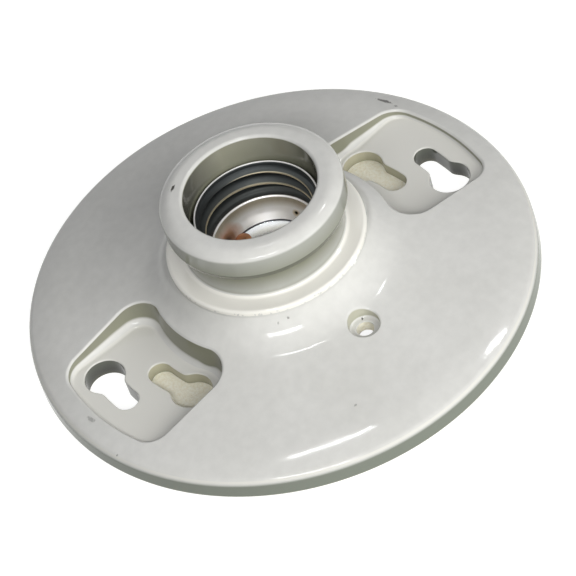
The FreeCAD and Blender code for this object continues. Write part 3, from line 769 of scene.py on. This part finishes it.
hollow = times(tree, times(tree, hollow, zone((-1.0, 47.8), (-1.0, 8.3))), sums(tree, "LESS_THAN", upright, 0.3))
raw = sums(tree, "MAXIMUM", sums(tree, "MAXIMUM", webs, below), hollow)
colour = mixed(tree, raw, colour, clay)

ragged = wander(tree, 1.6, 2200.0)
marks = 0.0
for place, size, turn, depth in MARKS:
    marks = sums(tree, "MAXIMUM", marks, times(tree, fleck(tree, where, place, size, turn, ragged), depth))
colour = mixed(tree, marks, colour, (0.045, 0.042, 0.035))
# painted glints: white spots in place of the highlights on the ledge and the groove's foot
for place, size, turn in PAINTED_GLINTS:
    colour = mixed(tree, fleck(tree, where, place, size, turn, ragged), colour, (0.95, 0.95, 0.93))
gloss = ramp(tree, noise(tree, 160.0, 2.0), [(0.3, 0.06), (0.7, 0.12)])
gloss = mixed(tree, sums(tree, "MAXIMUM", raw, marks), gloss, (0.42, 0.42, 0.42))
relief = bump(tree, 0.25, 0.0004, noise(tree, 70.0, 2.0))
relief = bump(tree, 0.12, 0.00005, noise(tree, 900.0, 2.0), relief)
relief = bump(tree, 0.8, 0.0003, sums(tree, "SUBTRACT", times(tree, grain, raw), marks), relief)
dress(tree, glazed, colour, gloss, relief)
glazed.inputs["Specular IOR Level"].default_value = 0.4
body.data.materials.append(glaze)
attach(body, "holder")
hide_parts("porcelain_body")


# Screw shell: thin sheet drawn into a cup and rolled with the lamp's thread, seven turns to the
# inch, with a flared lip, a dished foot and a flat flange that the rivets hold down
def lathe(name, path, count, place=(0.0, 0.0), closed=False):
    """A turned mesh about an upright axis at the place, in millimetres."""
    mesh = bpy.data.meshes.new(name)
    points = np.concatenate([ring(r, z, count=count) for r, z in path])
    faces = quads(len(path), count, closed)
    mesh.from_pydata(((points + (*place, 0)) * MM).tolist(), [], faces)
    work = bmesh.new()
    work.from_mesh(mesh)
    bmesh.ops.remove_doubles(work, verts=work.verts, dist=1e-7)
    bmesh.ops.recalc_face_normals(work, faces=work.faces)
    work.to_mesh(mesh)
    work.free()
    mesh.shade_smooth()
    return placed(mesh)


def settled(shape):
    """Applies the shape's modifiers to its mesh."""
    graph = bpy.context.evaluated_depsgraph_get()
    mesh = bpy.data.meshes.new_from_object(shape.evaluated_get(graph), depsgraph=graph)
    shape.modifiers.clear()
    mesh.name = shape.name
    shape.data = mesh
    return shape


def cut(shape, cutter):
    """Takes the cutter's volume out of the shape and removes the cutter."""
    taken = shape.modifiers.new("cut", "BOOLEAN")
    taken.operation = "DIFFERENCE"
    taken.solver = "EXACT"
    taken.object = cutter
    settled(shape)
    bpy.data.objects.remove(cutter)


def new_tree(name, inputs):
    """An empty geometry tree with its named number inputs, and those inputs."""
    tree = bpy.data.node_groups.new(name, "GeometryNodeTree")
    kinds = [("Geometry", "NodeSocketGeometry"), ("Material", "NodeSocketMaterial")]
    for title, kind in kinds + [(title, "NodeSocketFloat") for title in inputs]:
        tree.interface.new_socket(title, in_out="INPUT", socket_type=kind)
    tree.interface.new_socket("Geometry", in_out="OUTPUT", socket_type="NodeSocketGeometry")
    return tree, tree.nodes.new("NodeGroupInput").outputs


def close_tree(tree, given, geometry):
    """Ends a tree in Realize Instances and Set Material."""
    whole = wire(tree, "GeometryNodeRealizeInstances", [("Geometry", geometry)]).outputs["Geometry"]
    dressed = wire(tree, "GeometryNodeSetMaterial", [("Geometry", whole), ("Material", given["Material"])])
    wire(tree, "NodeGroupOutput", [("Geometry", dressed.outputs["Geometry"])])


def worked(shape, tree, made, values):
    """Runs the tree on the shape with its inputs set, and keeps the result as a plain mesh."""
    modifier = shape.modifiers.new("work", "NODES")
    modifier.node_group = tree
    for item in tree.interface.items_tree:
        if item.in_out == "INPUT" and item.name in values:
            modifier[item.identifier] = values[item.name]
        if item.in_out == "INPUT" and item.name == "Material":
            modifier[item.identifier] = made
    return settled(shape)


# The thread: points move out from the axis in a wave that climbs one pitch a turn
rolled, given = new_tree("rolled_thread", ["Axis X", "Axis Y", "Pitch", "Depth", "Start", "Foot", "Top", "Fade"])
axis = wire(rolled, "ShaderNodeCombineXYZ", [("X", given["Axis X"]), ("Y", given["Axis Y"])]).outputs[0]
spot = vector(rolled, "SUBTRACT", wire(rolled, "GeometryNodeInputPosition").outputs[0], axis)[0]
axes = wire(rolled, "ShaderNodeSeparateXYZ", [(0, spot)]).outputs
angle = sums(rolled, "ARCTAN2", axes["Y"], axes["X"])
climb = times(rolled, sums(rolled, "DIVIDE", axes["Z"], given["Pitch"]), 2 * math.pi)
phase = sums(rolled, "SUBTRACT", sums(rolled, "ADD", climb, given["Start"]), angle)
wave = times(rolled, sums(rolled, "SUBTRACT", 1.0, sums(rolled, "COSINE", phase)), 0.5)
wave = sums(rolled, "POWER", wave, 0.75)
full_from = sums(rolled, "ADD", given["Foot"], given["Fade"])
full_to = sums(rolled, "SUBTRACT", given["Top"], given["Fade"])
rise = fade(rolled, axes["Z"], given["Foot"], full_from, kind="SMOOTHSTEP")
fall = fade(rolled, axes["Z"], full_to, given["Top"], 1.0, 0.0, kind="SMOOTHSTEP")
swell = times(rolled, times(rolled, wave, given["Depth"]), times(rolled, rise, fall))
flat = wire(rolled, "ShaderNodeCombineXYZ", [("X", axes["X"]), ("Y", axes["Y"])]).outputs[0]
away = vector(rolled, "NORMALIZE", flat)[0]
push = wire(rolled, "ShaderNodeVectorMath", [(0, away), ("Scale", swell)], operation="SCALE").outputs[0]
moved = wire(rolled, "GeometryNodeSetPosition", [("Geometry", given["Geometry"]), ("Offset", push)])
close_tree(rolled, given, moved.outputs["Geometry"])

# Its plating, with painted light: tan painted highlights along the thread's crests, painted dark reflections in the
# blue-grey roots, a painted highlight on the lip and a painted bluish reflection on the flange; brushed and darker tan
# up the dish, with painted shade in the crease by the flange, a reddish-brown blotch with a dark centre over the
# neutral rivet and a burnt spot
shell_metal, tree, plated = material("rolled_shell", 1.0)
where, axes, reach = bearings(tree)
height = axes["Z"]
# painted highlight as tan lines on the crests, painted dark reflection in the blue-grey roots
thread = ramp(tree, fade(tree, reach, 0.0121, 0.0132), [
    (0.0, (0.80, 0.72, 0.52)), (0.09, (0.45, 0.41, 0.31)), (0.2, (0.085, 0.092, 0.090)), (0.9, (0.060, 0.066, 0.068))])
# darker still below 19 mm, on the thread's lowest part
thread = mixed(tree, fade(tree, height, 0.0192, 0.0188), thread, (0.075, 0.08, 0.078))
# painted highlight: the lip is painted bright
thread = mixed(tree, fade(tree, height, 0.0264, 0.0266), thread, (0.88, 0.87, 0.86))
dish = ramp(tree, noise(tree, 300.0), [(0.35, (0.95, 0.93, 0.89)), (0.65, (0.99, 0.98, 0.97))])
# darker tan on the dish's upper slope
upper_dish = times(tree, fade(tree, height, 0.0146, 0.0162), sums(tree, "LESS_THAN", height, 0.01695))
dish = mixed(tree, upper_dish, dish, (0.53, 0.48, 0.38))
flange = between(tree, reach, 0.0, 9.6)
# painted reflection: the flange is painted a bright bluish white
dish = mixed(tree, flange, dish, (0.84, 0.88, 0.92))
threaded = fade(tree, height, 0.0173, 0.0175)
colour = mixed(tree, threaded, dish, thread)
# painted shade: a dark line in the crease between the dish and the flange
crease_shade = sums(tree, "COMPARE", reach, 0.00962, 0.00012)
colour = mixed(tree, crease_shade, colour, (0.10, 0.10, 0.11))
blur = wander(tree, 1.2, 260.0)
# a reddish-brown blotch with a dark centre over the neutral rivet, and a small burnt spot by the contact
for place, size, share, soft, stain in (
        ((-4.3, 9.6, 13.4), (3.4, 2.6, 1.9), 0.85, 0.5, (0.60, 0.27, 0.12)),
        ((-4.5, 9.6, 13.0), (2.0, 1.6, 0.9), 0.85, 0.7, (0.05, 0.03, 0.025)),
        ((10.6, 3.0, 13.6), (0.8, 0.9, 0.6), 0.7, 0.4, (0.55, 0.40, 0.15)),
        ((10.7, 3.0, 13.6), (0.5, 0.6, 0.42), 1.0, 0.2, (0.02, 0.018, 0.015))):
    colour = mixed(tree, times(tree, fleck(tree, where, place, size, 0, blur, soft), share), colour, stain)
spun = wire(tree, "ShaderNodeMapping", [("Vector", where), ("Scale", (1.0, 1.0, 0.12))]).outputs[0]
streaks = noise(tree, 1400.0, 4.0, 0.6, spun)
gloss = mixed(tree, flange, ramp(tree, streaks, [(0.3, 0.42), (0.7, 0.60)]), (0.22, 0.22, 0.22))
gloss = mixed(tree, times(tree, threaded, 0.6), gloss, (0.6, 0.6, 0.6))
dress(tree, plated, colour, gloss, bump(tree, 0.3, 0.00003, streaks))

sheet_thickness, thread_bore = 0.4, 12.1
barrel = [(thread_bore, z) for z in np.arange(18.5, 24.61, 0.14)]
inside = np.concatenate([
    rounded_path([(6.2, 11.7, 0), (9.5, 11.7, 0.2), (11.0, 13.9, 4.0), (11.85, 17.1, 0.1), (thread_bore, 17.3, 0.1),
                  (thread_bore, 18.4, 0)], 6),
    barrel, rounded_path([(thread_bore, 24.7, 0), (12.5, 25.0, 0.4), (13.3, 25.8, 0.5), (13.5, 26.5, 0)])])
run = np.gradient(inside, axis=0)
side = np.column_stack([run[:, 1], -run[:, 0]])
outside = inside + sheet_thickness * side / np.linalg.norm(run, axis=1, keepdims=True)
outside[0], outside[-1] = (6.2, seat), (13.9, 26.5)
shell = lathe("shell", np.concatenate([inside, [(13.7, 26.6)], outside[::-1]]), 180, closed=True)
worked(shell, rolled, shell_metal, {"Pitch": 3.63 * MM, "Depth": 1.1 * MM, "Start": 2.1, "Foot": 17.95 * MM,
                                    "Top": 25.9 * MM, "Fade": 1.0 * MM})
for place in (rivet_place, -rivet_place):
    cut(shell, lathe("drill", [(0, 10.5), (1.2, 10.5), (1.2, 12.5), (0, 12.5)], 32, place))
shell.data.set_sharp_from_angle(angle=math.radians(50))
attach(shell, "holder")
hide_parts("screw_shell")


# Rivets: turned copper pins with a low domed head, browned by heat. Two hold the shell's flange down
# and one the contact; each is rolled over at its tail, under the terminal plates and the washer.
def metal(name, colour, shadow, low, high, scale):
    """Metal with mottled colour and gloss and shallow dents."""
    made, tree, shader = material(name, 1.0)
    dress(tree, shader, ramp(tree, noise(tree, scale, 4.0), [(0.3, shadow), (0.65, colour)]),
          ramp(tree, noise(tree, scale * 6), [(0.3, low), (0.7, high)]),
          bump(tree, 0.2, 0.00004, noise(tree, scale * 3)))
    return made


copper = metal("copper", (0.50, 0.25, 0.13), (0.22, 0.10, 0.06), 0.25, 0.45, 500.0)
for name, place, head, grip in (("shell_rivet_neutral", rivet_place, 11.7, 5.1),
                                ("shell_rivet_plain", -rivet_place, 11.7, 5.3),
                                ("contact_rivet", contact_place, 8.7, 5.1)):
    profile = rounded_path([
        (0, grip - 0.35, 0), (0.55, grip - 0.35, 0.2), (0.95, grip - 0.7, 0.35), (1.6, grip - 0.7, 0.45),
        (1.9, grip, 0.2), (1.2, grip, 0), (1.2, head, 0), (1.9, head, 0.12), (1.75, head + 0.55, 0.5),
        (1.0, head + 0.9, 1.6), (0, head + 0.9, 0)], 15)
    rivet = lathe(name.replace("rivet", "pin"), profile, 40, place)
    rivet.data.set_sharp_from_angle(angle=math.radians(40))
    rivet.data.materials.append(copper)
    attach(rivet, "holder")
    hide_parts(name)


# Stamped pieces: the brass contact strip and hot plate, the plated neutral plate and the washer. They
# are cut from sheet, held by the rivets, and have the small rounded edges that the press leaves.
def softened(name, node, width, finish):
    """A copy of the piece with merged points, flat faces joined and its edges rounded."""
    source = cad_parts[node]
    mesh = source.data.copy()
    mesh.transform(source.matrix_world)
    mesh.name = name
    work = bmesh.new()
    work.from_mesh(mesh)
    bmesh.ops.remove_doubles(work, verts=work.verts, dist=1e-6)
    bmesh.ops.dissolve_limit(work, angle_limit=math.radians(1), verts=work.verts, edges=work.edges)
    work.to_mesh(mesh)
    work.free()
    mesh.materials.clear()
    mesh.materials.append(finish)
    shape = placed(mesh)
    edges = shape.modifiers.new("edges", "BEVEL")
    edges.limit_method = "ANGLE"
    edges.angle_limit = math.radians(40)
    edges.width = width * MM
    edges.segments = 3
    settled(shape)
    shape.data.shade_smooth()
    shape.data.set_sharp_from_angle(angle=math.radians(35))
    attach(shape, "holder")
    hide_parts(node)


brass = metal("brass", (0.83, 0.66, 0.36), (0.62, 0.46, 0.24), 0.25, 0.42, 400.0)
steel = metal("plated_steel", (0.70, 0.70, 0.69), (0.50, 0.50, 0.49), 0.28, 0.45, 350.0)
softened("contact_spring", "centre_contact", 0.08, brass)
softened("hot_plate", "hot_terminal_plate", 0.15, brass)
softened("neutral_plate", "neutral_terminal_plate", 0.15, steel)
softened("washer", "rivet_washer", 0.12, steel)


# Terminal screws: turned, with a binding head under the plate, a sawn slot across it and a fine
# thread up the shank. A wire is held between head and plate; the brass one is the hot side.
head_foot, shank_foot, shank_radius = 3.18, 5.08, 1.7
slot_half_length, slot_half_width, slot_roof = 4.5, 0.55, 4.18
for name, node, body_name, reach, turn, finish, slot in (
        ("hot_binding_screw", "hot_terminal_screw", "hot_screw", screw_reach, 25, brass, "contact_metal"),
        ("neutral_binding_screw", "neutral_terminal_screw", "neutral_screw", -screw_reach, -40, steel, "plated_metal")):
    shank = [(shank_radius, z) for z in np.arange(shank_foot, 8.8, 0.08)]
    profile = np.concatenate([
        rounded_path([(0, head_foot, 0), (2.6, head_foot, 1.2), (3.7, 3.85, 0.35), (3.7, shank_foot, 0.2),
                      (shank_radius, shank_foot, 0)]), shank[1:],
        rounded_path([(shank_radius, 8.85, 0), (1.25, 9.3, 0.15), (0, 9.3, 0)])])
    screw = lathe(name, profile, 64, (reach, 0.0))
    screw.data.materials.append(finish)
    worked(screw, rolled, finish, {"Axis X": reach * MM, "Axis Y": 0.0, "Pitch": 0.8 * MM, "Depth": -0.3 * MM,
                                   "Start": 0.0, "Foot": 5.2 * MM, "Top": 8.9 * MM, "Fade": 0.3 * MM})
    along = np.array((math.cos(math.radians(turn)), math.sin(math.radians(turn))))
    across = np.array((-along[1], along[0]))
    corners = [np.array((reach, 0)) + along * a * slot_half_length + across * b * slot_half_width
               for a, b in ((-1, -1), (1, -1), (1, 1), (-1, 1))]
    blade = bpy.data.meshes.new("blade")
    blade.from_pydata([(*(corner * MM), z * MM) for z in (2.5, slot_roof) for corner in corners], [],
                      [(3, 2, 1, 0), (4, 5, 6, 7), (0, 1, 5, 4), (1, 2, 6, 5), (2, 3, 7, 6), (3, 0, 4, 7)])
    cut(screw, placed(blade))
    screw.data.shade_smooth()
    screw.data.set_sharp_from_angle(angle=math.radians(40))
    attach(screw, body_name)
    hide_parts(node)
